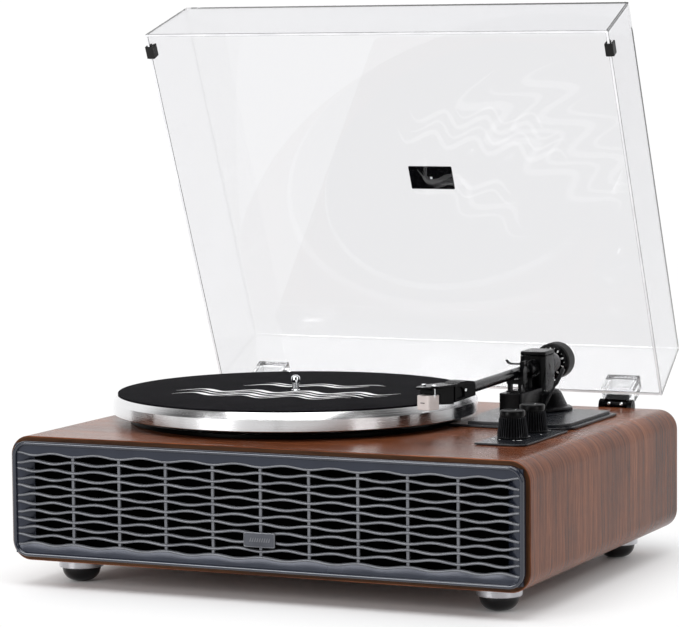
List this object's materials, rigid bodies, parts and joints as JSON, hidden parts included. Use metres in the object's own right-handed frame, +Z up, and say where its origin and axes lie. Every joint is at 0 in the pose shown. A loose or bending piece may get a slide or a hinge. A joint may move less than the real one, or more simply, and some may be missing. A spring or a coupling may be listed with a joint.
{
  "type": "turntable record player",
  "caption": "Record player in a wooden cabinet with a wavy speaker grille, belt-driven platter and slip mat, straight tonearm with cue lever, two knobs and a hinged clear dust cover.",
  "frame": {"origin": "middle of the bounding box's base, on the surface that the feet stand on, with the dust cover open", "axes": "+Z up, -Y towards the front grille, +X towards the tonearm side"},
  "size_m": [0.442, 0.4126, 0.4601],
  "materials": {
    "walnut": "satin veneer",
    "fibreboard": "black painted board",
    "slate": "satin slate",
    "brushed_aluminium": "turned and brushed",
    "chrome": "polished",
    "satin_black": "satin",
    "gloss_black": "gloss",
    "black_aluminium": "black coated",
    "black_metal": "black coated",
    "rubber": "matte",
    "mat_felt": "felt",
    "grey_metal": "satin",
    "ivory": "satin",
    "circuit_board": "lacquered",
    "brass": "polished",
    "clear_acrylic": "clear and polished"
  },
  "bodies": {
    "cabinet": {"cabinet_shell": "walnut", "front_grille": "slate", "grille_badge": "grey_metal", "speaker_baffle": "fibreboard", "back_panel": "fibreboard", "jack_panel": "satin_black", "speaker_driver_left": "black_metal", "speaker_driver_right": "black_metal", "rca_jack_block": "brass", "power_inlet": "satin_black", "amplifier_board": "circuit_board", "foot_ring_front_left": "brushed_aluminium", "foot_ring_front_right": "brushed_aluminium", "foot_ring_back_left": "brushed_aluminium", "foot_ring_back_right": "brushed_aluminium", "foot_pad_front_left": "rubber", "foot_pad_front_right": "rubber", "foot_pad_back_left": "rubber", "foot_pad_back_right": "rubber", "bearing_housing": "black_metal", "deck_disc": "gloss_black", "drive_belt": "rubber", "motor": "brushed_aluminium", "control_plate": "satin_black", "control_board": "circuit_board", "tonearm_base_plate": "satin_black", "pivot_pedestal": "satin_black", "lift_housing": "satin_black", "arm_rest": "satin_black", "hinge_bracket_left": "black_metal", "hinge_bracket_right": "black_metal"},
    "turning_platter": {"platter": "brushed_aluminium", "slip_mat": "mat_felt", "spindle": "chrome"},
    "turning_pulley": {"motor_pulley": "brass"},
    "arm_head": {"pivot_block": "black_aluminium", "pivot_cap": "satin_black"},
    "tonearm": {"arm_tube": "black_aluminium", "arm_collar": "satin_black", "head_shell": "black_aluminium", "cartridge_body": "satin_black", "stylus_holder": "ivory", "stylus_cantilever": "brushed_aluminium", "weight_shaft": "brushed_aluminium"},
    "weight_carriage": {"weight_sleeve": "grey_metal"},
    "turning_weight": {"counterweight": "black_metal"},
    "turning_dial": {"weight_dial": "satin_black"},
    "lift_bar": {"cue_platform": "satin_black"},
    "lift_lever": {"cue_lever": "black_metal"},
    "rest_latch": {"arm_latch": "satin_black"},
    "front_knob": {"volume_knob": "gloss_black"},
    "rear_knob": {"function_knob": "gloss_black"},
    "cover": {"dust_cover": "clear_acrylic", "lid_badge": "satin_black", "lid_socket_left": "clear_acrylic", "lid_socket_right": "clear_acrylic", "hinge_leaf_left": "black_metal", "hinge_leaf_right": "black_metal", "lid_bumper_left": "rubber", "lid_bumper_right": "rubber"}
  },
  "joints": [
    {"name": "platter_spin", "type": "hinge", "parent": "cabinet", "child": "turning_platter", "pos_m": [-0.053, -0.02428, 0.13], "axis": [0, 0, 1], "continuous": true},
    {"name": "pulley_spin", "type": "hinge", "parent": "cabinet", "child": "turning_pulley", "pos_m": [-0.13686, 0.03891, 0.13], "axis": [0, 0, 1], "continuous": true},
    {"name": "arm_swing", "type": "hinge", "parent": "cabinet", "child": "arm_head", "pos_m": [0.1232, 0.07172, 0.1605], "axis": [0, 0, -1], "range_deg": [0, 44]},
    {"name": "arm_tilt", "type": "hinge", "parent": "arm_head", "child": "tonearm", "pos_m": [0.1232, 0.07172, 0.1605], "axis": [-0.9986, -0.0523, 0], "range_deg": [0, 2.25]},
    {"name": "weight_travel", "type": "slide", "parent": "tonearm", "child": "weight_carriage", "axis": [-0.0523, 0.9986, 0], "range_m": [-0.00403, 0.0021]},
    {"name": "weight_turn", "type": "hinge", "parent": "weight_carriage", "child": "turning_weight", "pos_m": [0.1232, 0.07172, 0.1605], "axis": [-0.0523, 0.9986, 0], "range_deg": [-720, 360]},
    {"name": "dial_turn", "type": "hinge", "parent": "turning_weight", "child": "turning_dial", "pos_m": [0.1232, 0.07172, 0.1605], "axis": [-0.0523, 0.9986, 0], "range_deg": [-180, 180]},
    {"name": "cue_lever_turn", "type": "hinge", "parent": "cabinet", "child": "lift_lever", "pos_m": [0.146, 0.01932, 0.1279], "axis": [1, 0, 0], "range_deg": [0, 35]},
    {"name": "lift_bar_rise", "type": "slide", "parent": "cabinet", "child": "lift_bar", "axis": [0, 0, 1], "range_m": [0, 0.0016]},
    {"name": "latch_turn", "type": "hinge", "parent": "cabinet", "child": "rest_latch", "pos_m": [0.13345, 0.01368, 0.1689], "axis": [-0.0523, 0.9986, 0], "range_deg": [0, 100]},
    {"name": "volume_knob_turn", "type": "hinge", "parent": "cabinet", "child": "front_knob", "pos_m": [0.1643, -0.09077, 0.13], "axis": [0, 0, 1], "range_deg": [-150, 150]},
    {"name": "function_knob_turn", "type": "hinge", "parent": "cabinet", "child": "rear_knob", "pos_m": [0.1643, -0.04827, 0.13], "axis": [0, 0, 1], "range_deg": [-150, 150]},
    {"name": "cover_hinge", "type": "hinge", "parent": "cabinet", "child": "cover", "pos_m": [0, 0.14943, 0.1212], "axis": [-1, 0, 0], "range_deg": [-66.2, 0]}
  ],
  "couplings": [
    {"joint": "pulley_spin", "follows": "platter_spin", "ratio": 16},
    {"joint": "weight_travel", "follows": "weight_turn", "m_per_rad": 0.00031831},
    {"joint": "arm_tilt", "follows": "cue_lever_turn", "ratio": 0.062857},
    {"joint": "lift_bar_rise", "follows": "cue_lever_turn", "m_per_rad": 0.002537}
  ]
}
